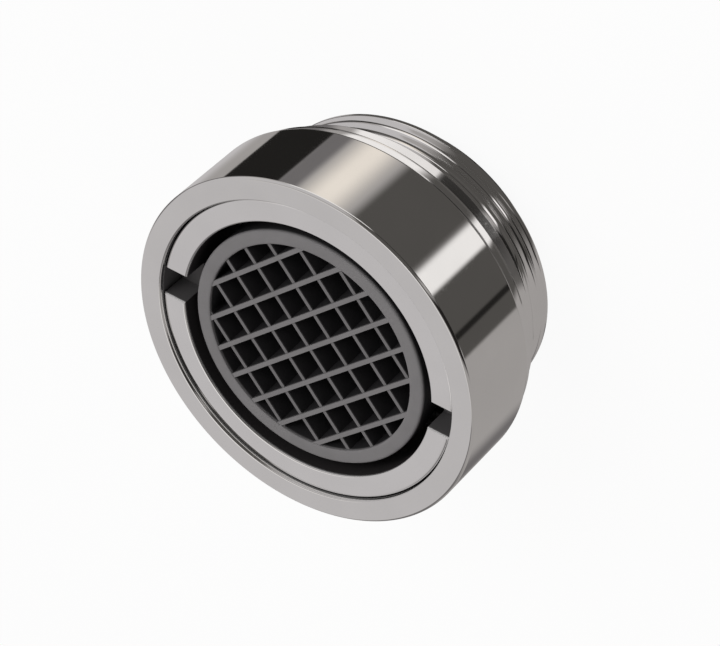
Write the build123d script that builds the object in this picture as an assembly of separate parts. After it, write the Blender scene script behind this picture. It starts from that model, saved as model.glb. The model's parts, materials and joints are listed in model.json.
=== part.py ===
from build123d import *
from math import hypot
import os

# Tap aerator with a male thread. A chromed body holds a plastic cartridge and is turned with a
# key in the two slots of its outlet rim. The outer sleeve spins freely on the body, so that the
# aerator can't be unscrewed by hand.
# Millimetres. Heights are above the sealing washer's lower face, and the water flows along +Z.
# The key slots lie along X.

# Fits
push_clearance = 0.1
running_clearance = 0.1
end_play = 0.1

# Body
thread_radius = 11.9
thread_wall = 1.3
thread_length = 3.45
thread_chamfer = 0.7
neck_step = 0.7
neck_length = 0.9
shoulder_step = 0.85
shoulder_length = 1.45
collar_step = 0.65
collar_length = 0.85
rim_width = 1.76
rim_recess = 0.35
seat_bore_length = 1.6
key_slot_width = 2.3
key_slot_depth = 2.2

# Sleeve
sleeve_wall = 1.8
sleeve_gap = 0.2
sleeve_chamfer = 0.15

# Clip and glide ring
clip_thickness = 0.7
clip_width = 1.35
clip_height = 1.55
clip_opening = 4.0
clip_groove_depth = 0.8
glide_thickness = 0.5
glide_width = 0.55

# Washer
washer_thickness = 1.9
washer_width = 2.2
washer_proud = 1.0

# Cartridge shell
flange_thickness = 1.1
flange_width = 0.65
spigot_wall = 0.95
spigot_end = 0.6
shell_step = 0.75
shell_wall = 0.7
chamber_ledge = 0.45
pocket_margin = 0.7
jet_chamber_length = 2.2
window_count = 6
window_width = 4.6
window_height = 1.5

# Outlet grille
air_gap = 0.84
grille_recess = 0.7
grille_ring_height = 1.4
grille_skirt_wall = 0.4
grille_skirt_length = 0.9
grille_pitch = 2.29
grille_rib = 0.32
grille_rib_depth = 2.0
grille_rib_recess = 0.08
grille_chamfer = 0.12

# Mixing grids and stream splitter
mixing_grid_count = 3
mixing_grid_height = 1.0
mixing_grid_rib_depth = 0.5
mixing_grid_pitch = 2.8
mixing_grid_rib = 0.4
mixing_rim_width = 0.55
splitter_height = 1.62
splitter_foot_gap = 0.2
splitter_hub_radius = 2.4
splitter_rib_count = 12
splitter_rib_width = 0.5
splitter_rib_height = 1.2

# Jet plate
jet_plate_height = 1.2
jet_plate_thickness = 0.7
jet_plate_rim = 0.8
jet_edge = 0.8
jet_hole_radius = 0.45
jet_count = 18

# Regulator
core_thickness = 0.8
core_wall = 0.6
regulator_gap = 1.2
ring_gap = 0.55
ring_width = 1.3
ring_height = 1.2
flute_gap = 0.65
flute_count = 8
flute_height = 0.6
flute_width = 0.7
core_window_count = 8
core_window_width = 1.1
cover_thickness = 0.4
cover_gap = 0.2
cover_slot_count = 6
cover_slot_width = 1.4
slot_margin = 0.25

# Strainer
strainer_standoff = 0.5
strainer_gap = 0.4
strainer_wall = 0.5
strainer_rim_height = 0.8
strainer_chamfer = 0.45
strainer_hole = 1.2
strainer_pitch = 1.9

# Heights that follow, from the inlet to the outlet
strainer_z = strainer_standoff
cover_z = strainer_z + strainer_wall + cover_gap
cover_top_z = cover_z + cover_thickness
flange_z = washer_thickness
seat_z = flange_z + flange_thickness
strainer_rim_z = flange_z + pocket_margin
core_z = strainer_rim_z + strainer_rim_height
jet_plate_z = core_z + core_thickness
pocket_z = jet_plate_z + jet_plate_height
chamber_z = pocket_z + jet_chamber_length
grids_z = chamber_z + splitter_height
lattice_z = grids_z + mixing_grid_count * mixing_grid_height
lattice_top_z = lattice_z + grille_rib_depth
grille_top_z = lattice_top_z + grille_rib_recess
shell_top_z = grille_top_z - grille_ring_height
sleeve_top_z = grille_top_z + grille_recess
rim_z = sleeve_top_z - rim_recess
inlet_z = washer_proud
thread_top_z = inlet_z + thread_length
shoulder_z = thread_top_z + neck_length
collar_z = shoulder_z + shoulder_length
collar_top_z = collar_z + collar_length
sleeve_z = collar_top_z + sleeve_gap
clip_z = collar_top_z + clip_height
clip_top_z = clip_z + clip_thickness

# Radii that follow, from the thread inwards
inlet_recess_radius = thread_radius - thread_wall
neck_radius = thread_radius - neck_step
flange_radius = inlet_recess_radius - push_clearance
spigot_radius = flange_radius - flange_width
seat_bore_radius = spigot_radius + push_clearance
pocket_radius = spigot_radius - spigot_wall
plate_radius = pocket_radius - push_clearance
shell_radius = spigot_radius - shell_step
chamber_radius = shell_radius - shell_wall
jet_chamber_radius = chamber_radius - chamber_ledge
insert_radius = chamber_radius - push_clearance
jet_ring_radius = plate_radius - jet_plate_rim - jet_edge
washer_inner_radius = flange_radius - washer_width
strainer_radius = washer_inner_radius - strainer_gap
strainer_inner_radius = strainer_radius - strainer_wall
core_wall_radius = strainer_inner_radius - regulator_gap
core_wall_inner_radius = core_wall_radius - core_wall
ring_outer_radius = core_wall_inner_radius - ring_gap
ring_inner_radius = ring_outer_radius - ring_width
flute_radius = ring_inner_radius - flute_gap
post_radius = flute_radius - flute_height

# Radii that follow, from the shell outwards
grille_radius = shell_radius + grille_skirt_wall
outlet_bore_radius = grille_radius + air_gap
land_radius = outlet_bore_radius + rim_width
shoulder_radius = land_radius + shoulder_step
collar_radius = shoulder_radius + collar_step
sleeve_bore_radius = land_radius + running_clearance
sleeve_radius = sleeve_bore_radius + sleeve_wall
clip_groove_radius = land_radius - clip_groove_depth
clip_inner_radius = clip_groove_radius + push_clearance
clip_outer_radius = clip_inner_radius + clip_width
glide_inner_radius = land_radius + push_clearance
glide_outer_radius = glide_inner_radius + glide_width

TINY = 0.001


def turned(*points):
    """Solid of revolution about the axis, from its section's corners as (radius, height)."""
    section = make_face(Plane.XZ * Polyline(*points, close=True))
    return revolve(section, Axis.Z)


def prism(outline, low, high):
    """Flat outline made solid between two heights."""
    return extrude(Plane.XY.offset(low) * outline, high - low)


def ring(inner, outer, low, high):
    """Plain ring between two radii and two heights."""
    return prism(Circle(outer) - Circle(inner), low, high)


def lattice(radius, pitch, rib, turn):
    """Outline of square-set ribs inside a circle, with a crossing on the axis."""
    reach = int(radius / pitch)
    ribs = Rectangle(2 * radius, rib) + Rectangle(rib, 2 * radius)
    for step in range(1, reach + 1):
        for offset in (-step * pitch, step * pitch):
            ribs += Pos(0, offset) * Rectangle(2 * radius, rib)
            ribs += Pos(offset, 0) * Rectangle(rib, 2 * radius)
    return Rot(0, 0, turn) * (Circle(radius) & ribs)


def radial_slots(inner, outer, width, count):
    """Outlines of straight slots between two radii, evenly spaced round the axis."""
    return PolarLocations((inner + outer) / 2, count) * Rectangle(outer - inner, width)


def make_outer_sleeve():
    """Chromed sleeve: its bore runs on the body, and an inner groove takes the clip."""
    recess_radius = glide_outer_radius + running_clearance
    recess_z = collar_top_z + glide_thickness + end_play
    groove_radius = clip_outer_radius + running_clearance
    return turned(
        (recess_radius, sleeve_z),
        (sleeve_radius - sleeve_chamfer, sleeve_z),
        (sleeve_radius, sleeve_z + sleeve_chamfer),
        (sleeve_radius, sleeve_top_z - sleeve_chamfer),
        (sleeve_radius - sleeve_chamfer, sleeve_top_z),
        (sleeve_bore_radius, sleeve_top_z),
        (sleeve_bore_radius, clip_top_z + end_play),
        (groove_radius, clip_top_z + end_play),
        (groove_radius, clip_z - end_play),
        (sleeve_bore_radius, clip_z - end_play),
        (sleeve_bore_radius, recess_z),
        (recess_radius, recess_z),
    )


def make_threaded_body():
    """Chromed body: inlet recess, thread, neck, shoulder, collar, land for the sleeve and slotted rim."""
    body = turned(
        (inlet_recess_radius, inlet_z),
        (thread_radius - thread_chamfer, inlet_z),
        (thread_radius, inlet_z + thread_chamfer),
        (thread_radius, thread_top_z),
        (neck_radius, thread_top_z),
        (neck_radius, shoulder_z),
        (shoulder_radius, shoulder_z),
        (shoulder_radius, collar_z),
        (collar_radius, collar_z),
        (collar_radius, collar_top_z),
        (land_radius, collar_top_z),
        (land_radius, clip_z - end_play / 2),
        (clip_groove_radius, clip_z - end_play / 2),
        (clip_groove_radius, clip_top_z + end_play / 2),
        (land_radius, clip_top_z + end_play / 2),
        (land_radius, rim_z),
        (outlet_bore_radius, rim_z),
        (outlet_bore_radius, seat_z + seat_bore_length),
        (seat_bore_radius, seat_z + seat_bore_length),
        (seat_bore_radius, seat_z),
        (inlet_recess_radius, seat_z),
    )
    slots = prism(Rectangle(4 * land_radius, key_slot_width), rim_z - key_slot_depth, sleeve_top_z)
    return body - slots


def make_sleeve_clip():
    """Split spring ring that sits half in the body's groove and half in the sleeve's."""
    opening = Pos(0, clip_outer_radius) * Rectangle(clip_opening, 4 * clip_width)
    outline = Circle(clip_outer_radius) - Circle(clip_inner_radius) - opening
    return prism(outline, clip_z, clip_top_z)


def make_glide_ring():
    """Plastic ring on the collar, under the sleeve's rear recess."""
    return ring(glide_inner_radius, glide_outer_radius, collar_top_z, collar_top_z + glide_thickness)


def make_sealing_washer():
    """Flat rubber washer that the aerator stands on."""
    return ring(washer_inner_radius, flange_radius, 0, flange_z)


def make_cartridge_shell():
    """Cartridge housing: flange, spigot, pocket for the plates, jet chamber and mixing chamber."""
    spigot_top_z = pocket_z + spigot_end
    shell = turned(
        (pocket_radius, flange_z),
        (flange_radius, flange_z),
        (flange_radius, seat_z),
        (spigot_radius, seat_z),
        (spigot_radius, spigot_top_z),
        (shell_radius, spigot_top_z),
        (shell_radius, shell_top_z),
        (chamber_radius, shell_top_z),
        (chamber_radius, chamber_z),
        (jet_chamber_radius, chamber_z),
        (jet_chamber_radius, pocket_z),
        (pocket_radius, pocket_z),
    )
    wall_middle = (jet_chamber_radius + shell_radius) / 2
    reach = 2 * (shell_radius - jet_chamber_radius) + window_width / 2
    window_z = (spigot_top_z + chamber_z) / 2
    window = Pos(wall_middle, 0, window_z) * Box(reach, window_width, window_height)
    return shell - PolarLocations(0, window_count) * window


def make_outlet_grille():
    """Grey ring with a skirt over the shell's end and a square lattice set 45 degrees to the slots."""
    skirt_radius = shell_radius + push_clearance / 2
    grille = turned(
        (chamber_radius, shell_top_z),
        (skirt_radius, shell_top_z),
        (skirt_radius, shell_top_z - grille_skirt_length),
        (grille_radius, shell_top_z - grille_skirt_length),
        (grille_radius, grille_top_z - grille_chamfer),
        (grille_radius - grille_chamfer, grille_top_z),
        (chamber_radius, grille_top_z),
    )
    ribs = lattice(chamber_radius + grille_rib, grille_pitch, grille_rib, 45)
    inner_ribs = ribs & Circle(chamber_radius - push_clearance)
    upper = prism(ribs, shell_top_z, lattice_top_z)
    lower = prism(inner_ribs, lattice_z, shell_top_z)
    return grille + upper + lower


def make_mixing_grid(index):
    """Fine grid with a rim. Each grid is turned half a right angle from the one before."""
    low = grids_z + index * mixing_grid_height
    rim = ring(insert_radius - mixing_rim_width, insert_radius, low, low + mixing_grid_height)
    turn = 45 * (index % 2)
    ribs = lattice(insert_radius - mixing_rim_width / 2, mixing_grid_pitch, mixing_grid_rib, turn)
    return rim + prism(ribs, low, low + mixing_grid_rib_depth)


def make_stream_splitter():
    """Rim, hub cone and wedge ribs with their edges towards the jets."""
    foot_z = grids_z - splitter_foot_gap
    rim = ring(insert_radius - mixing_rim_width, insert_radius, chamber_z, grids_z)
    hub = turned(
        (0, chamber_z),
        (splitter_hub_radius, foot_z - splitter_rib_height / 2),
        (splitter_hub_radius, foot_z),
        (0, foot_z),
    )
    half = splitter_rib_width / 2
    wedge = Polyline((-half, foot_z), (half, foot_z), (0, foot_z - splitter_rib_height), close=True)
    start = splitter_hub_radius - half
    reach = insert_radius - mixing_rim_width / 2 - start
    rib = extrude(Plane.YZ.offset(start) * make_face(wedge), reach)
    return rim + hub + PolarLocations(0, splitter_rib_count) * rib


def make_jet_plate():
    """Plate with a ring of six-sided holes, and a rim that leaves a water space on the inlet side."""
    face_z = pocket_z - jet_plate_thickness
    rim = ring(plate_radius - jet_plate_rim, plate_radius, jet_plate_z, face_z)
    jets = PolarLocations(jet_ring_radius, jet_count) * RegularPolygon(jet_hole_radius, 6)
    return rim + prism(Circle(plate_radius) - jets, face_z, pocket_z)


def make_regulator_core():
    """Plate with windows, a fluted post and a wall: the elastic ring lies between the two."""
    windows = radial_slots(
        ring_inner_radius - slot_margin, ring_outer_radius, core_window_width, core_window_count
    )
    plate = prism(Circle(plate_radius) - windows, core_z, jet_plate_z)
    wall = ring(core_wall_inner_radius, core_wall_radius, cover_top_z, core_z)
    flutes = PolarLocations(0, flute_count // 2, 0, 180) * Rectangle(2 * flute_radius, flute_width)
    return plate + wall + prism(Circle(post_radius) + flutes, cover_top_z, core_z)


def make_regulator_ring():
    """Elastic ring on the regulator's plate."""
    return ring(ring_inner_radius, ring_outer_radius, core_z - ring_height, core_z)


def make_regulator_cover():
    """Slotted cover on the regulator's wall and post."""
    slots = radial_slots(
        ring_inner_radius - slot_margin,
        core_wall_inner_radius - slot_margin,
        cover_slot_width,
        cover_slot_count,
    )
    return prism(Circle(core_wall_radius) - slots, cover_z, cover_top_z)


def make_strainer():
    """Low cap with square holes, over the regulator and inside the washer."""
    top_z = strainer_z + strainer_wall
    cap = turned(
        (0, strainer_z),
        (strainer_radius - strainer_chamfer, strainer_z),
        (strainer_radius, strainer_z + strainer_chamfer),
        (strainer_radius, strainer_rim_z),
        (plate_radius, strainer_rim_z),
        (plate_radius, core_z),
        (strainer_inner_radius, core_z),
        (strainer_inner_radius, top_z),
        (0, top_z),
    )
    field_radius = strainer_inner_radius - strainer_hole
    reach = int(field_radius / strainer_pitch)
    steps = [step * strainer_pitch for step in range(-reach, reach + 1)]
    places = [Pos(x, y) for x in steps for y in steps if hypot(x, y) < field_radius]
    holes = Sketch() + [place * Rectangle(strainer_hole, strainer_hole) for place in places]
    return cap - prism(holes, strainer_z - TINY, top_z + TINY)


parts = {
    "outer_sleeve": make_outer_sleeve(),
    "threaded_body": make_threaded_body(),
    "sleeve_clip": make_sleeve_clip(),
    "glide_ring": make_glide_ring(),
    "sealing_washer": make_sealing_washer(),
    "cartridge_shell": make_cartridge_shell(),
    "outlet_grille": make_outlet_grille(),
    "stream_splitter": make_stream_splitter(),
    "jet_plate": make_jet_plate(),
    "regulator_core": make_regulator_core(),
    "regulator_ring": make_regulator_ring(),
    "regulator_cover": make_regulator_cover(),
    "strainer": make_strainer(),
}
for index in range(mixing_grid_count):
    parts[f"mixing_grid_{index + 1}"] = make_mixing_grid(index)

os.makedirs("parts", exist_ok=True)
for name, solid in parts.items():
    export_step(solid, f"parts/{name}.step")
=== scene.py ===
import json
from math import cos, hypot, pi, radians, sin

import bpy
from mathutils import Matrix, Vector

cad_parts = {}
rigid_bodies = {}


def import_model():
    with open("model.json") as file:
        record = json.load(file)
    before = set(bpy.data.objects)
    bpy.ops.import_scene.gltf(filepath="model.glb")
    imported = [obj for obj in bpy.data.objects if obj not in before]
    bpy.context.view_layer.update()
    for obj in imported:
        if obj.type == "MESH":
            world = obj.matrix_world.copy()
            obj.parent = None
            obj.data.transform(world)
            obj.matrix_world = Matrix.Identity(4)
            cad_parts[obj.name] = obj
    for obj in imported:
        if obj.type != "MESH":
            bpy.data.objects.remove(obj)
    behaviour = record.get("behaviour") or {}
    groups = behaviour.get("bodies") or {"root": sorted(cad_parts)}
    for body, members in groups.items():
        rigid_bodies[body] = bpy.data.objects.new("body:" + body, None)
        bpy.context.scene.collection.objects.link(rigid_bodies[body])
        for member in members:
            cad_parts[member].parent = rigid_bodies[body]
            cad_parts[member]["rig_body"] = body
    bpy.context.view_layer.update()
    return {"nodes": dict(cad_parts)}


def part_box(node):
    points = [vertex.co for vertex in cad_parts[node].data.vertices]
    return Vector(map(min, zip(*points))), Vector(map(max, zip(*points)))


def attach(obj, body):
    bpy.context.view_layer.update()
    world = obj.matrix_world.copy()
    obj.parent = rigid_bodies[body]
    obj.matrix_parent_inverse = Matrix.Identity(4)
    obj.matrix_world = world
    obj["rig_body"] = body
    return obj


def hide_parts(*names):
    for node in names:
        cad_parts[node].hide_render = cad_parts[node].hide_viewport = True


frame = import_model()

# Tap aerator with a spinning outer sleeve, standing on its washer with the outlet up.
# Metres. The water flows along +Z and the key slots lie along X.

MM = 0.001

# Camera, in the frame of the part
LENS = 150.0
SENSOR = 36.0
AIM = Vector((2.44, 2.01, 11.67)) * MM
DISTANCE = 208.5 * MM
BEARING = radians(150.76)
ELEVATION = radians(41.48)
ROLL = radians(132.93)

# Turned pieces
TURN_STEPS = 240
ARC_STEPS = 4
SMOOTH_ANGLE = radians(32)
MERGE = 0.0001 * MM
EDGE_BREAK = 0.15 * MM
SOFT_EDGE = 0.06 * MM

# Sleeve
SLEEVE_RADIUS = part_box("outer_sleeve")[1].x
SLEEVE_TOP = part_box("outer_sleeve")[1].z
SLEEVE_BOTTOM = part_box("outer_sleeve")[0].z
SLEEVE_BORE = 12.2 * MM
REAR_ROUNDING = 0.2 * MM
FACE_CHAMFER = 0.15 * MM

# Clip and glide ring, which the sleeve's bore goes round
PLAY = 0.1 * MM
CLIP_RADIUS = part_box("sleeve_clip")[1].x
CLIP_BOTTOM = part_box("sleeve_clip")[0].z
CLIP_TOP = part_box("sleeve_clip")[1].z
CLIP_GROOVE = 11.3 * MM
GLIDE_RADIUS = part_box("glide_ring")[1].x
GLIDE_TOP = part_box("glide_ring")[1].z

# Body
BODY_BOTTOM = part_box("threaded_body")[0].z
RIM_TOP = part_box("threaded_body")[1].z
COLLAR_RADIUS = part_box("threaded_body")[1].x
COLLAR_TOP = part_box("glide_ring")[0].z
COLLAR_LENGTH = 0.85 * MM
COLLAR_SLOPE = 0.10 * MM
COLLAR_ROUNDING = 0.08 * MM
SHOULDER_RADIUS = 12.95 * MM
SHOULDER_LENGTH = 1.45 * MM
SHOULDER_SLOPE = 0.36 * MM
LAND_RADIUS = 12.1 * MM
THREAD_RADIUS = 11.9 * MM
THREAD_NOSE = 0.75 * MM
THREAD_LEAD = 0.95 * MM
LEAD_KNEE_RADIUS = THREAD_RADIUS - 0.15 * THREAD_NOSE
LEAD_KNEE_TOP = BODY_BOTTOM + 0.38 * THREAD_LEAD
LEAD_ROUNDING = 0.1 * MM
THREAD_START = 0.97 * MM
THREAD_SHOULDER = 0.4 * MM
THREAD_PITCH = 1.0 * MM
THREAD_DEPTH = 0.38 * MM
THREAD_CREST = 0.34 * MM
THREAD_ROOT = 0.10 * MM
THREAD_ROUNDING = 0.12 * MM
THREAD_TURNS = 4
NECK_RADIUS = 11.2 * MM
NECK_LENGTH = 0.9 * MM
INLET_RECESS = 10.6 * MM
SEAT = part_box("cartridge_shell")[0].z + 1.1 * MM
SEAT_BORE = 9.95 * MM
SEAT_LENGTH = 1.6 * MM
OUTLET_BORE = 10.34 * MM
RIM_MARGIN = 0.31 * MM
SLOT_WIDTH = 2.3 * MM
SLOT_DEPTH = 2.2 * MM
SLOT_FLARE = 0.14 * MM

# Outlet grille
GRILLE_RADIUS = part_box("outlet_grille")[1].x
GRILLE_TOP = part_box("outlet_grille")[1].z
GRILLE_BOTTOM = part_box("outlet_grille")[0].z
GRILLE_INNER = 8.4 * MM
RING_BOTTOM = 12.9 * MM
RING_ROUNDING_OUTSIDE = 0.22 * MM
RING_ROUNDING_INSIDE = 0.2 * MM
SKIRT_BOTTOM = 12.0 * MM
SKIRT_INNER = 9.15 * MM
LATTICE_TOP = GRILLE_TOP - 0.08 * MM
LATTICE_RADIUS = 8.3 * MM
CELL_PITCH = 2.29 * MM
CELL_DRAFT = 0.05 * MM
CELL_MARGIN = 0.02 * MM
HIGH_RIB = 0.35 * MM
LOW_RIB = 0.27 * MM
RIB_STEP = 0.10 * MM
RIB_END = 8.9 * MM
RIB_REACH = int(GRILLE_INNER / CELL_PITCH)
CELL_REACH = GRILLE_INNER + CELL_PITCH / 2

# Where the bores turn dull and dark (partly unplated metal, partly painted shade of the recess) and the cells
# turn dark with painted shadow
SLEEVE_DULL_SHADE_TOP = RIM_TOP + 0.1 * MM
DULL_SHADE_MARGIN = 0.04 * MM
DULL_SHADE_START = 0.25 * MM
# Tones inside the bores: partly dull unplated metal, partly painted shade of the recess; the key slots are
# lighter, with less painted shade, as more light falls into them
DULL_SHADED_METAL = (0.035, 0.032, 0.033, 1.0)
SLOT_LESS_SHADED_METAL = (0.12, 0.116, 0.118, 1.0)
SHADOW_DEPTH = 0.24 * MM
SHADOW_TONE = (0.035, 0.034, 0.036, 1.0)

# Washer
WASHER_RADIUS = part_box("sealing_washer")[1].x
WASHER_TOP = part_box("sealing_washer")[1].z
WASHER_INNER = 8.3 * MM
WASHER_ROUNDING = 0.12 * MM


def select_only(piece):
    """Makes one object the only one that is selected, and the active one."""
    bpy.ops.object.select_all(action="DESELECT")
    piece.select_set(True)
    bpy.context.view_layer.objects.active = piece


def select_where(piece, test):
    """Selects the points of a piece whose place passes a test."""
    select_only(piece)
    bpy.ops.object.mode_set(mode="EDIT")
    bpy.ops.mesh.select_mode(type="VERT")
    bpy.ops.mesh.select_all(action="DESELECT")
    bpy.ops.object.mode_set(mode="OBJECT")
    for vertex in piece.data.vertices:
        vertex.select = test(vertex.co)


def rounded(corners):
    """Points of an outline whose corners are (across, height, rounding)."""
    points = []
    for index, (across, height, rounding) in enumerate(corners):
        corner = Vector((across, height))
        if rounding == 0:
            points.append(corner)
            continue
        before = Vector(corners[index - 1][:2]) - corner
        after = Vector(corners[(index + 1) % len(corners)][:2]) - corner
        start = corner + before.normalized() * min(rounding, before.length / 2)
        end = corner + after.normalized() * min(rounding, after.length / 2)
        for step in range(ARC_STEPS + 1):
            s = step / ARC_STEPS
            points.append((1 - s) ** 2 * start + 2 * s * (1 - s) * corner + s ** 2 * end)
    return points


def wire(name, points, closed=True):
    """An outline in the XZ plane, drawn one point after the other."""
    bpy.ops.object.select_all(action="DESELECT")
    bpy.ops.mesh.primitive_plane_add(size=MM)
    piece = bpy.context.object
    piece.name = name
    bpy.ops.object.mode_set(mode="EDIT")
    bpy.ops.mesh.select_all(action="SELECT")
    bpy.ops.mesh.merge(type="CENTER")
    bpy.ops.transform.translate(value=(points[0].x, 0, points[0].y))
    stops = points + points[:1] if closed else points
    for here, there in zip(stops, stops[1:]):
        step = there - here
        bpy.ops.mesh.extrude_region_move(TRANSFORM_OT_translate={"value": (step.x, 0, step.y)})
    bpy.ops.mesh.select_all(action="SELECT")
    bpy.ops.mesh.remove_doubles(threshold=MERGE)
    bpy.ops.object.mode_set(mode="OBJECT")
    return piece


def close_up(piece):
    """Merges doubles and turns every face outwards."""
    select_only(piece)
    bpy.ops.object.mode_set(mode="EDIT")
    bpy.ops.mesh.select_all(action="SELECT")
    bpy.ops.mesh.remove_doubles(threshold=MERGE)
    bpy.ops.mesh.normals_make_consistent(inside=False)
    bpy.ops.object.mode_set(mode="OBJECT")


def turned(name, corners):
    """A piece turned about the Z axis from its section's corners (radius, height, rounding).
    A section that starts and ends on the axis stays open there."""
    on_axis = corners[0][0] == 0
    piece = wire(name, rounded(corners), closed=not on_axis)
    bpy.ops.object.mode_set(mode="EDIT")
    bpy.ops.mesh.select_all(action="SELECT")
    bpy.ops.mesh.spin(steps=TURN_STEPS, angle=2 * pi, center=(0, 0, 0), axis=(0, 0, 1))
    bpy.ops.object.mode_set(mode="OBJECT")
    close_up(piece)
    return piece


def prism(name, outline, low, high):
    """A straight bar with an outline in the XZ plane, between two places along Y."""
    piece = wire(name, [Vector(point) for point in outline])
    bpy.ops.object.mode_set(mode="EDIT")
    bpy.ops.mesh.select_all(action="SELECT")
    bpy.ops.mesh.edge_face_add()
    bpy.ops.transform.translate(value=(0, low, 0))
    bpy.ops.mesh.extrude_region_move(TRANSFORM_OT_translate={"value": (0, high - low, 0)})
    bpy.ops.object.mode_set(mode="OBJECT")
    close_up(piece)
    return piece


def combine(piece, tool, operation):
    """Joins, cuts or intersects a piece with a tool, and removes the tool."""
    select_only(piece)
    modifier = piece.modifiers.new("combine", "BOOLEAN")
    modifier.operation = operation
    modifier.solver = "EXACT"
    modifier.object = tool
    bpy.ops.object.modifier_apply(modifier="combine")
    bpy.data.objects.remove(tool)
    close_up(piece)


def fit(piece, material, node):
    """Finishes a piece that stands for a node: smooth shading, material and body, and hides the node's part.
    """
    select_only(piece)
    bpy.ops.object.transform_apply(location=True, rotation=True, scale=True)
    bpy.ops.object.shade_smooth_by_angle(angle=SMOOTH_ANGLE)
    modifier = piece.modifiers.new("weigh", "WEIGHTED_NORMAL")
    modifier.keep_sharp = True
    bpy.ops.object.modifier_apply(modifier="weigh")
    piece.data.materials.clear()
    piece.data.materials.append(material)
    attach(piece, frame["nodes"][node]["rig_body"])
    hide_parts(node)


class Number:
    """A socket that is reckoned with like a number: each operator adds a Math node."""

    def __init__(self, shade, socket):
        self.shade = shade
        self.socket = socket

    def math(self, operation, *values):
        inputs = dict(enumerate((self, *values)))
        return self.shade.number("ShaderNodeMath", {"operation": operation}, inputs)

    def __add__(self, other):
        return self.math("ADD", other)

    def __sub__(self, other):
        return self.math("SUBTRACT", other)

    def __rsub__(self, other):
        return (self * -1) + other

    def __mul__(self, other):
        return self.math("MULTIPLY", other)

    def __truediv__(self, other):
        return self.math("DIVIDE", other)

    def __pow__(self, other):
        return self.math("POWER", other)

    __radd__ = __add__
    __rmul__ = __mul__


class Shade:
    """A shader tree, with one method that adds any node."""

    def __init__(self, owner):
        owner.use_nodes = True
        self.tree = owner.node_tree
        self.tree.nodes.clear()

    def node(self, kind, settings=None, inputs=None):
        """Adds a node: its settings are set first, then its sockets get values or links."""
        made = self.tree.nodes.new(kind)
        for name, value in (settings or {}).items():
            setattr(made, name, value)
        for name, value in (inputs or {}).items():
            if isinstance(value, Number):
                value = value.socket
            if isinstance(value, bpy.types.NodeSocket):
                self.tree.links.new(value, made.inputs[name])
            else:
                made.inputs[name].default_value = value
        return made

    def number(self, kind, settings=None, inputs=None, output=0):
        return Number(self, self.node(kind, settings, inputs).outputs[output])

    def mix(self, factor, first, second):
        """Colour between two colours."""
        settings = {"data_type": "RGBA"}
        made = self.node("ShaderNodeMix", settings, {"Factor": factor, 6: first, 7: second})
        return made.outputs[2]

    def map(self, value, low, high, start=0.0, end=1.0):
        """Smooth step of a number from one range to another."""
        inputs = {"Value": value, "From Min": low, "From Max": high, "To Min": start, "To Max": end}
        return self.number("ShaderNodeMapRange", {"interpolation_type": "SMOOTHSTEP"}, inputs)

    def place(self):
        """The three coordinates of a point on the piece, in metres."""
        place = self.node("ShaderNodeTexCoord").outputs["Object"]
        parts = self.node("ShaderNodeSeparateXYZ", None, {"Vector": place})
        return place, *(Number(self, socket) for socket in parts.outputs)

    def noise(self, vector, scale, detail=2.0, roughness=0.5):
        inputs = {"Vector": vector, "Scale": scale, "Detail": detail, "Roughness": roughness}
        return self.number("ShaderNodeTexNoise", None, inputs)

    def vector(self, x, y, z):
        return self.node("ShaderNodeCombineXYZ", None, {"X": x, "Y": y, "Z": z}).outputs[0]

    def bump(self, height, strength, distance):
        inputs = {"Height": height, "Strength": strength, "Distance": distance}
        return self.node("ShaderNodeBump", None, inputs).outputs[0]

    def surface(self, **sockets):
        """Ends the tree in a Principled shader, whose sockets are given by name."""
        inputs = {name.replace("_", " "): value for name, value in sockets.items()}
        shader = self.node("ShaderNodeBsdfPrincipled", None, inputs)
        self.node("ShaderNodeOutputMaterial", None, {"Surface": shader.outputs[0]})


def chrome(name, colour, roughness, bore=0.0, dull_shade_top=0.0):
    """Polished chrome plate: fine turning marks round the axis, faint haze and hair scratches. Within the
    bore's radius, between the collar and the top of the dull zone, the metal is dull and dark: partly
    unplated metal, partly painted shade of the recess, with less painted shade in the key slots, where more
    light falls in."""
    material = bpy.data.materials.new(name)
    shade = Shade(material)
    place, x, y, z = shade.place()
    radius = (x * x + y * y) ** 0.5
    marks = shade.noise(shade.vector(radius * 9000, z * 9000, 0), 1.0, 3.0)
    haze = shade.noise(place, 260, 3.0)
    scratches = shade.noise(shade.vector(x * 900, y * 6000, z * 2500), 1.0, 2.0)
    tone = shade.map(haze + marks * 0.3, 0.4, 0.9)
    base = shade.mix(tone, (*colour, 1.0), (*(0.965 * part for part in colour), 1.0))
    rough = roughness + haze * 0.03 + shade.map(scratches, 0.6, 0.75) * 0.03
    metal = 1.0
    # Inside the bore the metal turns dull and dark: partly unplated metal, partly painted shade of the
    # recess, lighter in the key slots where light falls in
    if bore:
        inside = shade.map(radius, bore + 0.02 * MM, bore)
        below = shade.map(z, dull_shade_top, dull_shade_top - DULL_SHADE_START)
        above = shade.map(z, COLLAR_TOP, COLLAR_TOP + DULL_SHADE_START)
        dull_and_shade = inside * (below * above)
        half = SLOT_WIDTH / 2
        slot = shade.map(y.math("ABSOLUTE"), half + 0.1 * MM, half + 0.05 * MM)
        dull_shade_tone = shade.mix(slot, DULL_SHADED_METAL, SLOT_LESS_SHADED_METAL)
        base = shade.mix(dull_and_shade, base, dull_shade_tone)
        rough = rough + dull_and_shade * 0.3
        metal = 1 - dull_and_shade * 0.9
    normal = shade.bump(marks + scratches * 0.4, 0.05, 0.004 * MM)
    shade.surface(Base_Color=base, Metallic=metal, Roughness=rough, Normal=normal)
    return material


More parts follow.
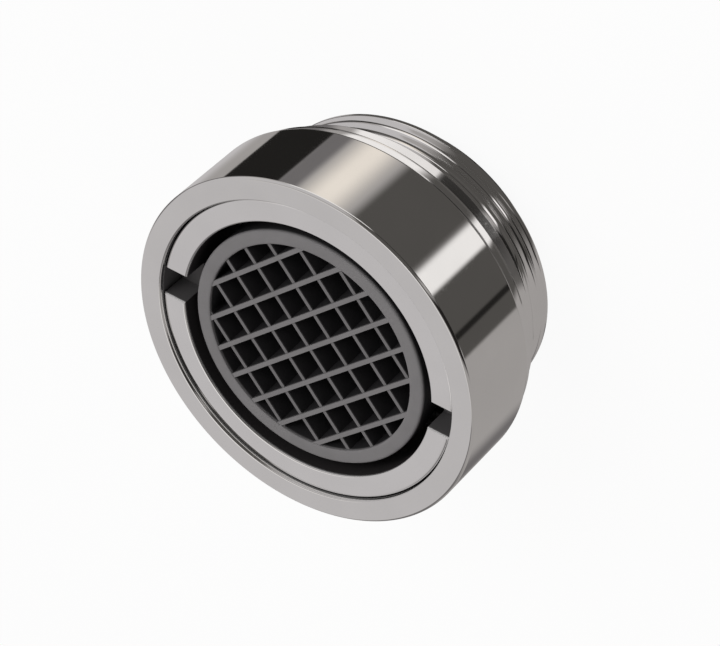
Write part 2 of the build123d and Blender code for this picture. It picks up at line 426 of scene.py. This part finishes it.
def plastic(name, colour, roughness, grain=0.03, shadow=0.0):
    """Moulded plastic: faint mottling, fine spark-eroded texture, and darker below the shadow height."""
    material = bpy.data.materials.new(name)
    shade = Shade(material)
    place, x, y, z = shade.place()
    mottle = shade.noise(place, 500, 4.0)
    texture = shade.noise(place, 6000, 3.0)
    darker = (*(0.88 * part for part in colour), 1.0)
    lighter = (*(1.12 * part for part in colour), 1.0)
    base = shade.mix(mottle, darker, lighter)
    if shadow:
        base = shade.mix(shade.map(z, shadow, shadow - SHADOW_DEPTH), base, SHADOW_TONE)
    rough = roughness + texture * 0.12
    normal = shade.bump(texture + mottle * 0.5, 0.4, grain * MM)
    shade.surface(Base_Color=base, Roughness=rough, Normal=normal)
    return material


def make_sleeve(material):
    """Chromed sleeve with its bore, clip groove and rear recess."""
    recess = GLIDE_RADIUS + PLAY
    recess_top = GLIDE_TOP + PLAY
    groove = CLIP_RADIUS + PLAY
    piece = turned("sleeve", (
        (recess, SLEEVE_BOTTOM, SOFT_EDGE),
        (SLEEVE_RADIUS, SLEEVE_BOTTOM, REAR_ROUNDING),
        (SLEEVE_RADIUS, SLEEVE_TOP - FACE_CHAMFER, SOFT_EDGE),
        (SLEEVE_RADIUS - FACE_CHAMFER, SLEEVE_TOP, SOFT_EDGE),
        (SLEEVE_BORE, SLEEVE_TOP, EDGE_BREAK),
        (SLEEVE_BORE, CLIP_TOP + PLAY, 0),
        (groove, CLIP_TOP + PLAY, 0),
        (groove, CLIP_BOTTOM - PLAY, 0),
        (SLEEVE_BORE, CLIP_BOTTOM - PLAY, 0),
        (SLEEVE_BORE, recess_top, 0),
        (recess, recess_top, 0),
    ))
    fit(piece, material, "outer_sleeve")


def make_thread_groove():
    """The helical groove between the thread's ridges, longer than the thread at both ends."""
    open_half = (THREAD_PITCH - THREAD_CREST) / 2
    root = THREAD_ROOT / 2
    outside = THREAD_RADIUS + 0.1 * MM
    bottom = THREAD_RADIUS - THREAD_DEPTH
    middle = BODY_BOTTOM - THREAD_START
    outline = rounded((
        (outside, middle + open_half + 0.05 * MM, 0),
        (THREAD_RADIUS, middle + open_half + 0.04 * MM, 0),
        (THREAD_RADIUS - 0.03 * MM, middle + open_half - 0.03 * MM, THREAD_ROUNDING),
        (bottom, middle + root, THREAD_ROUNDING),
        (bottom, middle - root, THREAD_ROUNDING),
        (THREAD_RADIUS - 0.03 * MM, middle - open_half + 0.03 * MM, THREAD_ROUNDING),
        (THREAD_RADIUS, middle - open_half - 0.04 * MM, 0),
        (outside, middle - open_half - 0.05 * MM, 0),
    ))
    piece = wire("groove", outline)
    modifier = piece.modifiers.new("wind", "SCREW")
    modifier.axis = "Z"
    modifier.angle = 2 * pi
    modifier.screw_offset = THREAD_PITCH
    modifier.iterations = THREAD_TURNS
    modifier.steps = TURN_STEPS
    modifier.render_steps = TURN_STEPS
    modifier.use_merge_vertices = True
    modifier.merge_threshold = MERGE
    bpy.ops.object.modifier_apply(modifier="wind")
    bpy.ops.object.mode_set(mode="EDIT")
    bpy.ops.mesh.select_all(action="DESELECT")
    bpy.ops.mesh.select_mode(type="EDGE")
    bpy.ops.mesh.select_non_manifold()
    bpy.ops.mesh.edge_face_add()
    bpy.ops.mesh.select_mode(type="VERT")
    bpy.ops.object.mode_set(mode="OBJECT")
    close_up(piece)
    return piece


def make_body(material):
    """Chromed body: inlet recess, thread, neck, shoulder, collar, land and slotted outlet rim."""
    collar = COLLAR_TOP - COLLAR_LENGTH
    shoulder = collar - SHOULDER_LENGTH
    thread_top = shoulder - NECK_LENGTH
    groove_low = CLIP_BOTTOM - PLAY / 2
    groove_high = CLIP_TOP + PLAY / 2
    piece = turned("body", (
        (INLET_RECESS, BODY_BOTTOM, SOFT_EDGE),
        (THREAD_RADIUS - THREAD_NOSE, BODY_BOTTOM, SOFT_EDGE),
        (LEAD_KNEE_RADIUS, LEAD_KNEE_TOP, LEAD_ROUNDING),
        (THREAD_RADIUS, BODY_BOTTOM + THREAD_LEAD, LEAD_ROUNDING),
        (THREAD_RADIUS, thread_top - THREAD_SHOULDER, SOFT_EDGE),
        (THREAD_RADIUS - THREAD_SHOULDER, thread_top, SOFT_EDGE),
        (NECK_RADIUS, thread_top, SOFT_EDGE),
        (NECK_RADIUS, shoulder, SOFT_EDGE),
        (SHOULDER_RADIUS, shoulder, SOFT_EDGE),
        (SHOULDER_RADIUS - SHOULDER_SLOPE, collar, SOFT_EDGE),
        (COLLAR_RADIUS, collar, COLLAR_ROUNDING),
        (COLLAR_RADIUS - COLLAR_SLOPE, COLLAR_TOP, EDGE_BREAK),
        (LAND_RADIUS, COLLAR_TOP, SOFT_EDGE),
        (LAND_RADIUS, groove_low, 0),
        (CLIP_GROOVE, groove_low, 0),
        (CLIP_GROOVE, groove_high, 0),
        (LAND_RADIUS, groove_high, 0),
        (LAND_RADIUS, RIM_TOP, EDGE_BREAK),
        (LAND_RADIUS - RIM_MARGIN, RIM_TOP, 0),
        (OUTLET_BORE + RIM_MARGIN, RIM_TOP, 0),
        (OUTLET_BORE, RIM_TOP, EDGE_BREAK),
        (OUTLET_BORE, SEAT + SEAT_LENGTH, SOFT_EDGE),
        (SEAT_BORE, SEAT + SEAT_LENGTH, 0),
        (SEAT_BORE, SEAT, 0),
        (INLET_RECESS, SEAT, 0),
    ))
    combine(piece, make_thread_groove(), "DIFFERENCE")
    half = SLOT_WIDTH / 2
    slot = (
        (-half, RIM_TOP - SLOT_DEPTH),
        (half, RIM_TOP - SLOT_DEPTH),
        (half, RIM_TOP - SLOT_FLARE),
        (half + SLOT_FLARE, RIM_TOP),
        (half + 2 * SLOT_FLARE, SLEEVE_TOP),
        (-half - 2 * SLOT_FLARE, SLEEVE_TOP),
        (-half - SLOT_FLARE, RIM_TOP),
        (-half, RIM_TOP - SLOT_FLARE),
    )
    cutter = prism("slot", slot, -2 * LAND_RADIUS, 2 * LAND_RADIUS)
    cutter.rotation_euler.z = pi / 2
    combine(piece, cutter, "DIFFERENCE")
    fit(piece, material, "threaded_body")


def make_grille(material):
    """Grey ring with a skirt, and a lattice of square cells whose walls have a little draft. The ribs one
    way lie a little below those the other way."""
    piece = turned("grille", (
        (0, GRILLE_BOTTOM, 0),
        (LATTICE_RADIUS, GRILLE_BOTTOM, 0),
        (LATTICE_RADIUS, RING_BOTTOM, 0),
        (SKIRT_INNER, RING_BOTTOM, 0),
        (SKIRT_INNER, SKIRT_BOTTOM, 0),
        (GRILLE_RADIUS, SKIRT_BOTTOM, SOFT_EDGE),
        (GRILLE_RADIUS, GRILLE_TOP, RING_ROUNDING_OUTSIDE),
        (GRILLE_INNER, GRILLE_TOP, RING_ROUNDING_INSIDE),
        (GRILLE_INNER, LATTICE_TOP - RIB_STEP, 0),
        (0, LATTICE_TOP - RIB_STEP, 0),
    ))
    combine(piece, make_cells(), "DIFFERENCE")
    combine(piece, make_high_ribs(), "UNION")
    fit(piece, material, "outlet_grille")


def bar(length, width, low, high):
    """A bar on the axis, along X, between two heights."""
    bpy.ops.object.select_all(action="DESELECT")
    bpy.ops.mesh.primitive_cube_add(size=1)
    piece = bpy.context.object
    piece.scale = (length, width, high - low)
    piece.location.z = (low + high) / 2
    bpy.ops.object.transform_apply(location=True, rotation=True, scale=True)
    return piece


def join_in_lattice(pieces):
    """Joins pieces that were laid out along X and Y, and turns them to the lattice's directions."""
    select_only(pieces[0])
    for piece in pieces:
        piece.select_set(True)
    bpy.ops.object.transform_apply(location=True, rotation=True, scale=True)
    bpy.ops.object.join()
    joined = bpy.context.object
    joined.rotation_euler.z = pi / 4
    bpy.ops.object.transform_apply(location=True, rotation=True, scale=True)
    return joined


def make_high_ribs():
    """Tops of the ribs that run one way, which end inside the ring."""
    ribs = []
    for step in range(-RIB_REACH, RIB_REACH + 1):
        y = step * CELL_PITCH
        length = 2 * (RIB_END ** 2 - y ** 2) ** 0.5
        rib = bar(length, HIGH_RIB - 0.01 * MM, LATTICE_TOP - 4 * RIB_STEP, LATTICE_TOP)
        rib.location.y = y
        ribs.append(rib)
    return join_in_lattice(ribs)


def make_cells():
    """The cells between the ribs, as one cutter that ends at the ring's inner wall."""
    low = GRILLE_BOTTOM - MM
    high = LATTICE_TOP
    middles = [(step + 0.5) * CELL_PITCH for step in range(-RIB_REACH - 1, RIB_REACH + 1)]
    cell = make_cell(low, high)
    copies = []
    for x in middles:
        for y in middles:
            if hypot(x, y) < CELL_REACH:
                copy = cell.copy()
                copy.data = cell.data.copy()
                copy.location = (x, y, 0)
                bpy.context.scene.collection.objects.link(copy)
                copies.append(copy)
    bpy.data.objects.remove(cell)
    cells = join_in_lattice(copies)
    inside = GRILLE_INNER - CELL_MARGIN
    bound = turned("bound", (
        (0, low - MM, 0), (inside, low - MM, 0), (inside, high + MM, 0), (0, high + MM, 0),
    ))
    combine(cells, bound, "INTERSECT")
    return cells


def make_cell(low, high):
    """One cell's cutter on the axis: a bar that widens towards the outlet."""
    length = CELL_PITCH - LOW_RIB
    width = CELL_PITCH - HIGH_RIB
    cell = bar(length, width, low, high)
    select_where(cell, lambda place: place.z < (low + high) / 2)
    bpy.ops.object.mode_set(mode="EDIT")
    bpy.ops.transform.resize(value=(1 - 2 * CELL_DRAFT / length, 1 - 2 * CELL_DRAFT / width, 1))
    bpy.ops.object.mode_set(mode="OBJECT")
    return cell


def make_washer(material):
    """Flat rubber washer with rounded edges."""
    piece = turned("washer", (
        (WASHER_INNER, 0, WASHER_ROUNDING),
        (WASHER_RADIUS, 0, WASHER_ROUNDING),
        (WASHER_RADIUS, WASHER_TOP, WASHER_ROUNDING),
        (WASHER_INNER, WASHER_TOP, WASHER_ROUNDING),
    ))
    fit(piece, material, "sealing_washer")


def make_camera():
    """Camera at the photograph's angle, turned about its own line of sight by ROLL."""
    flat = Vector((sin(BEARING), -cos(BEARING), 0)) * cos(ELEVATION)
    back = flat + Vector((0, 0, sin(ELEVATION)))
    level = Vector((0, 0, 1)) - back * back.z
    level.normalize()
    side = (-back).cross(level)
    up = level * cos(ROLL) + side * sin(ROLL)
    right = (-back).cross(up)
    data = bpy.data.cameras.new("camera")
    data.lens = LENS
    data.sensor_width = SENSOR
    data.clip_start = 1 * MM
    camera = bpy.data.objects.new("camera", data)
    turn = Matrix((right, up, back)).transposed().to_4x4()
    camera.matrix_world = Matrix.Translation(AIM + back * DISTANCE) @ turn
    bpy.context.scene.collection.objects.link(camera)
    bpy.context.scene.camera = camera


# Tones of the studio's cards and flags, in linear light
WHITE = (0.90, 0.87, 0.85)
CREAM = (0.85, 0.78, 0.70)
LIGHT = (0.52, 0.50, 0.50)
GREY = (0.36, 0.34, 0.33)
DIM = (0.16, 0.15, 0.15)
DARK = (0.08, 0.075, 0.07)
BLACK = (0.015, 0.014, 0.013)

# Elevations in degrees where the zones begin that the ground, the sleeve's side, the collar, the shoulder and
# the outlet face have to themselves in the reflections
GROUND = -90
SIDE_LOW = -50
COLLAR_LOW = -38
SHOULDER_LOW = -26
FACE_LOW = 2
FACE_HIGH = 50
ZENITH = 90

# What the polished chrome sees round it: a grey surround over a dark ground, with plain cards and flags in
# front of them. Each card is (tone, from bearing, to bearing, from elevation, to elevation, width of its soft
# edges) in degrees, with the bearing counted from +X. A later one stands in front of an earlier one.
CARDS = (
    (GREY, -115, -20, GROUND, SIDE_LOW, 20),
    (LIGHT, -150, -120, SIDE_LOW, FACE_LOW, 20),
    (DIM, -105, -80, SIDE_LOW, COLLAR_LOW, 20),
    (DIM, -112, -80, SHOULDER_LOW, FACE_LOW, 16),
    (DARK, -8, 35, SIDE_LOW, COLLAR_LOW, 3),
    (BLACK, 4, 8, SIDE_LOW, COLLAR_LOW, 2),
    (DARK, 2, 35, COLLAR_LOW, SHOULDER_LOW, 8),
    (WHITE, 35, 51, SIDE_LOW, SHOULDER_LOW, 4),
    (DARK, 51, 100, SIDE_LOW, COLLAR_LOW, 8),
    (DARK, 51, 85, COLLAR_LOW, SHOULDER_LOW, 8),
    (CREAM, 110, 131, SIDE_LOW, COLLAR_LOW, 18),
    (WHITE, 90, 140, COLLAR_LOW, SHOULDER_LOW, 8),
    (DIM, 138, 152, SIDE_LOW, COLLAR_LOW, 6),
    (BLACK, 151, 191, SIDE_LOW, COLLAR_LOW, 2),
    (DIM, 156, 210, COLLAR_LOW, FACE_LOW, 12),
    (BLACK, 8, 82, SHOULDER_LOW, FACE_LOW, 6),
    (WHITE, 83, 131, SHOULDER_LOW, FACE_LOW, 3),
    (LIGHT, 105, 256, FACE_LOW, FACE_HIGH, 20),
    (DIM, -104, -65, FACE_LOW, FACE_HIGH, 20),
    (BLACK, -8, 34, FACE_LOW, FACE_HIGH, 10),
    (DARK, 47, 97, FACE_LOW, FACE_HIGH, 8),
    (DARK, 0, 105, FACE_HIGH, ZENITH, 30),
    (WHITE, -150, -85, FACE_HIGH, ZENITH, 30),
)
HEIGHT_EDGE = 2


def make_world():
    """Studio: a grey surround over a dark ground, with cards and flags in front of them."""
    world = bpy.data.worlds.new("studio")
    bpy.context.scene.world = world
    shade = Shade(world)
    direction = shade.node("ShaderNodeTexCoord").outputs["Generated"]
    parts = shade.node("ShaderNodeSeparateXYZ", None, {"Vector": direction})
    x, y, z = (Number(shade, socket) for socket in parts.outputs)
    bearing = y.math("ARCTAN2", x)
    height = z.math("ARCSINE")
    horizon = radians(SIDE_LOW)
    blend = radians(HEIGHT_EDGE) / 2
    above = shade.map(height, horizon - blend, horizon + blend)
    colour = shade.mix(above, (*DARK, 1.0), (*GREY, 1.0))
    for tone, start, end, low, high, edge in CARDS:
        across = (bearing - radians((start + end) / 2)).math("WRAP", pi, -pi).math("ABSOLUTE")
        upright = (height - radians((low + high) / 2)).math("ABSOLUTE")
        wide = card_mask(shade, across, end - start, edge)
        tall = card_mask(shade, upright, high - low, HEIGHT_EDGE)
        colour = shade.mix(wide * tall, colour, (*tone, 1.0))
    background = shade.node("ShaderNodeBackground", None, {"Color": colour, "Strength": 1.0})
    shade.node("ShaderNodeOutputWorld", None, {"Surface": background.outputs[0]})


def card_mask(shade, distance, size, edge):
    """One inside a card and none outside, from the distance to its middle. Sizes are in degrees."""
    return shade.map(distance, radians(size + edge) / 2, radians(size - edge) / 2)


FLOOR_GLOW = 0.94
FLOOR_DROP = 0.02 * MM


def make_floor():
    """White floor that keeps a soft shadow. The polished side looks past it at the cards."""
    bpy.ops.object.select_all(action="DESELECT")
    bpy.ops.mesh.primitive_grid_add(x_subdivisions=4, y_subdivisions=4, size=4.0)
    floor = bpy.context.object
    floor.name = "floor"
    floor.location.z = -FLOOR_DROP
    material = bpy.data.materials.new("white_floor")
    shade = Shade(material)
    path = shade.node("ShaderNodeLightPath").outputs
    seen = Number(shade, path["Is Camera Ray"]) + Number(shade, path["Is Transmission Ray"])
    seen = (seen + Number(shade, path["Is Glossy Ray"])).math("MINIMUM", 1.0)
    plain = shade.node("ShaderNodeBsdfDiffuse", None, {"Color": (0.9, 0.9, 0.9, 1.0)})
    white = shade.node("ShaderNodeEmission", None, {"Color": (1.0, 1.0, 1.0, 1.0), "Strength": 1.0})
    inputs = {0: seen * FLOOR_GLOW, 1: plain.outputs[0], 2: white.outputs[0]}
    mixed = shade.node("ShaderNodeMixShader", None, inputs)
    shade.node("ShaderNodeOutputMaterial", None, {"Surface": mixed.outputs[0]})
    floor.data.materials.append(material)
    floor.visible_glossy = False


LAMPS = (
    ("key", (-0.16, 0.26, 0.42), 0.40, 1.10),
    ("fill", (0.25, -0.10, 0.30), 0.40, 0.25),
)


def make_lamps():
    """Two broad soft lamps, for the shading of plastic and rubber and for the shadow on the floor."""
    for name, place, size, power in LAMPS:
        data = bpy.data.lights.new(name, "AREA")
        data.shape = "DISK"
        data.size = size
        data.energy = power
        lamp = bpy.data.objects.new(name, data)
        lamp.location = place
        lamp.rotation_mode = "QUATERNION"
        lamp.rotation_quaternion = (lamp.location - AIM).to_track_quat("Z", "Y")
        lamp.visible_glossy = False
        bpy.context.scene.collection.objects.link(lamp)


scene = bpy.context.scene
scene.view_settings.view_transform = "Standard"
make_camera()
make_world()
make_floor()
make_lamps()

sleeve_bore = SLEEVE_BORE + DULL_SHADE_MARGIN
sleeve_chrome = chrome("chrome_sleeve", (0.90, 0.90, 0.895), 0.04, sleeve_bore, SLEEVE_DULL_SHADE_TOP)
body_chrome = chrome("chrome_body", (0.93, 0.93, 0.93), 0.06, LAND_RADIUS + DULL_SHADE_MARGIN, RIM_TOP)
grey_plastic = plastic("grey_plastic", (0.215, 0.21, 0.215), 0.38, shadow=LATTICE_TOP - 0.02 * MM)
black_plastic = plastic("black_plastic", (0.075, 0.072, 0.075), 0.45)
natural_plastic = plastic("natural_plastic", (0.80, 0.79, 0.75), 0.40)
seal_rubber = plastic("seal_rubber", (0.03, 0.03, 0.03), 0.55)
regulator_rubber = plastic("regulator_rubber", (0.05, 0.05, 0.05), 0.5)
spring_steel = chrome("spring_steel", (0.55, 0.55, 0.56), 0.2)

make_sleeve(sleeve_chrome)
make_body(body_chrome)
make_grille(grey_plastic)
make_washer(seal_rubber)

INNER_FINISHES = {
    "sleeve_clip": spring_steel,
    "glide_ring": natural_plastic,
    "cartridge_shell": black_plastic,
    "stream_splitter": black_plastic,
    "jet_plate": black_plastic,
    "regulator_core": natural_plastic,
    "regulator_ring": regulator_rubber,
    "regulator_cover": natural_plastic,
    "strainer": natural_plastic,
    "mixing_grid_1": black_plastic,
    "mixing_grid_2": black_plastic,
    "mixing_grid_3": black_plastic,
}
for node, material in INNER_FINISHES.items():
    piece = frame["nodes"][node]
    piece.data.materials.clear()
    piece.data.materials.append(material)
